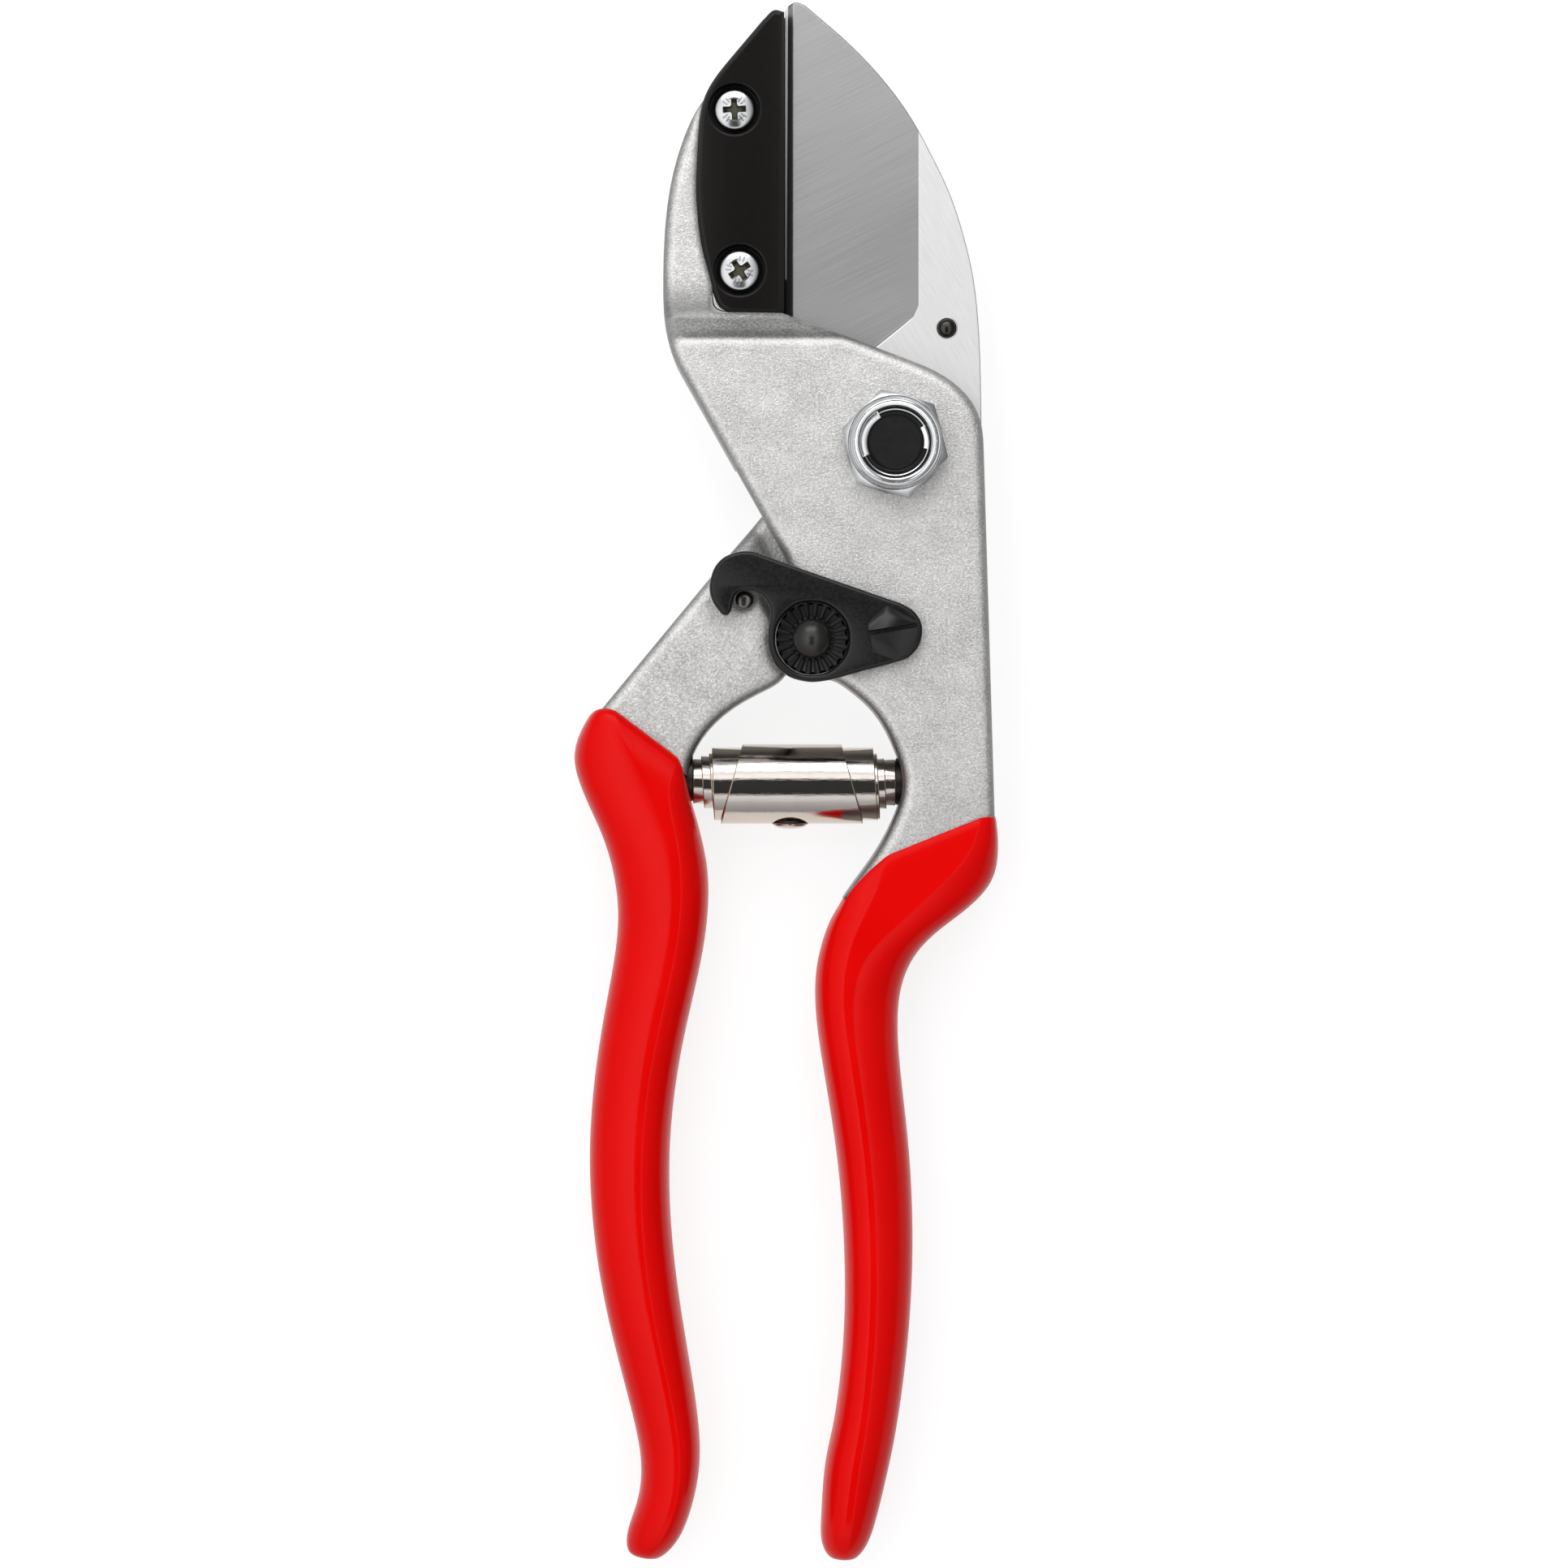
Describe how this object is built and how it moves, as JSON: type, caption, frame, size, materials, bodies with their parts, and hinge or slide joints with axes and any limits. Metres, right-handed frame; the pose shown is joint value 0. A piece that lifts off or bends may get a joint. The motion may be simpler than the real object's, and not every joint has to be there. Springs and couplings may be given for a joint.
{
  "type": "anvil pruning shears",
  "caption": "Anvil pruning shears: a straight blade closes on a flat black anvil, two aluminium handles in red vinyl, a volute spring between them and a thumb catch that locks them shut.",
  "frame": {"origin": "on the pivot axis, at the flat outer face of the pivot bolt's head, which is level with the back of the grips", "axes": "+Z from the back to the front with the nut, along the pivot axis; +Y along the length towards the blade's tip; +X towards the side that the blade opens to"},
  "size_m": [0.0593, 0.2144, 0.0212],
  "materials": {
    "cast_aluminium": "tumbled satin",
    "red_vinyl": "gloss",
    "black_anvil": "black anodised gloss",
    "zinc_screw": "bright zinc",
    "black_steel": "black oxide",
    "spring_steel": "satin",
    "seat_steel": "dark satin",
    "blade_steel": "ground",
    "dark_dowel": "black oxide",
    "black_bolt": "black oxide",
    "zinc_nut": "bright zinc",
    "bright_ring": "bright",
    "bush_steel": "ground",
    "black_lever": "black satin",
    "nickel_spring": "nickel plated"
  },
  "bodies": {
    "anvil_side": {"anvil_handle": "cast_aluminium", "right_grip": "red_vinyl", "anvil": "black_anvil", "anvil_screw_upper": "zinc_screw", "anvil_screw_lower": "zinc_screw", "catch_rivet": "black_steel", "catch_toothed_washer": "black_steel", "catch_spring_washer": "spring_steel", "right_spring_seat": "seat_steel", "volute_spring": "nickel_spring"},
    "blade_side": {"blade_handle": "cast_aluminium", "left_grip": "red_vinyl", "cutting_blade": "blade_steel", "blade_dowel": "dark_dowel", "pivot_bolt": "black_bolt", "pivot_nut": "zinc_nut", "nut_lock_ring": "bright_ring", "pivot_bush": "bush_steel", "catch_pin": "black_steel", "left_spring_seat": "seat_steel"},
    "catch": {"catch_lever": "black_lever"}
  },
  "joints": [
    {"name": "main_pivot", "type": "hinge", "parent": "anvil_side", "child": "blade_side", "pos_m": [0, 0, 0.012], "axis": [0, 0, -1], "range_deg": [0, 20], "deforming": ["volute_spring"]},
    {"name": "catch_pivot", "type": "hinge", "parent": "anvil_side", "child": "catch", "pos_m": [-0.0113, -0.0265, 0.016], "axis": [0, 0, -1], "range_deg": [0, 35]}
  ]
}
